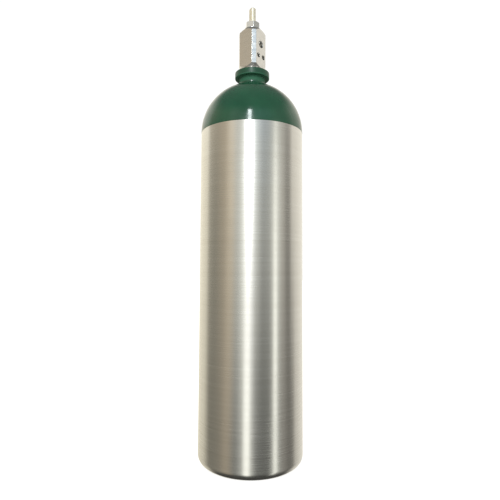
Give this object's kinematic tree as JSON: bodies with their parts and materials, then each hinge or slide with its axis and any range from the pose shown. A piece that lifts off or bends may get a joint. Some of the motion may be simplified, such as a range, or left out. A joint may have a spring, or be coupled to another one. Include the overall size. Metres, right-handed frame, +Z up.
{
  "type": "medical oxygen cylinder",
  "caption": "Slim aluminium gas cylinder with a domed green shoulder and a small chromed post valve turned by a wrench.",
  "frame": {"origin": "centre of the ring that the base stands on", "axes": "+Z up along the cylinder's axis; the valve's outlet and pin holes face -Y, the yoke screw's dimple faces +Y and the relief plug faces +X"},
  "size_m": [0.1112, 0.1112, 0.4941],
  "materials": {
    "painted_aluminium": "brushed, with gloss green paint on the shoulder and neck",
    "chromed_brass": "satin chrome on brass",
    "brass": "machined",
    "stem_brass": "machined, pale",
    "gasket_metal": "soft copper",
    "seal_rubber": "matt",
    "white_nylon": "turned"
  },
  "bodies": {
    "vessel": {"cylinder_shell": "painted_aluminium", "neck_o_ring": "seal_rubber", "valve_body": "chromed_brass", "debris_tube": "brass", "gland_nut": "chromed_brass", "gland_gasket": "gasket_metal", "thrust_washer": "white_nylon", "stem_o_ring": "seal_rubber", "lower_backup_ring": "white_nylon", "upper_backup_ring": "white_nylon", "relief_plug": "brass", "burst_disc": "gasket_metal", "disc_gasket": "white_nylon"},
    "stem": {"valve_stem": "stem_brass"},
    "plunger": {"valve_plunger": "brass", "seat_disc": "white_nylon"}
  },
  "joints": [
    {"name": "stem_turn", "type": "hinge", "parent": "vessel", "child": "stem", "pos_m": [0, 0, 0.4617], "axis": [0, 0, 1], "range_deg": [0, 450]},
    {"name": "plunger_lift", "type": "slide", "parent": "stem", "child": "plunger", "axis": [0, 0, 1], "range_m": [0, 0.00159]}
  ],
  "couplings": [
    {"joint": "stem_turn", "follows": "plunger_lift", "rad_per_m": 4947.4}
  ]
}
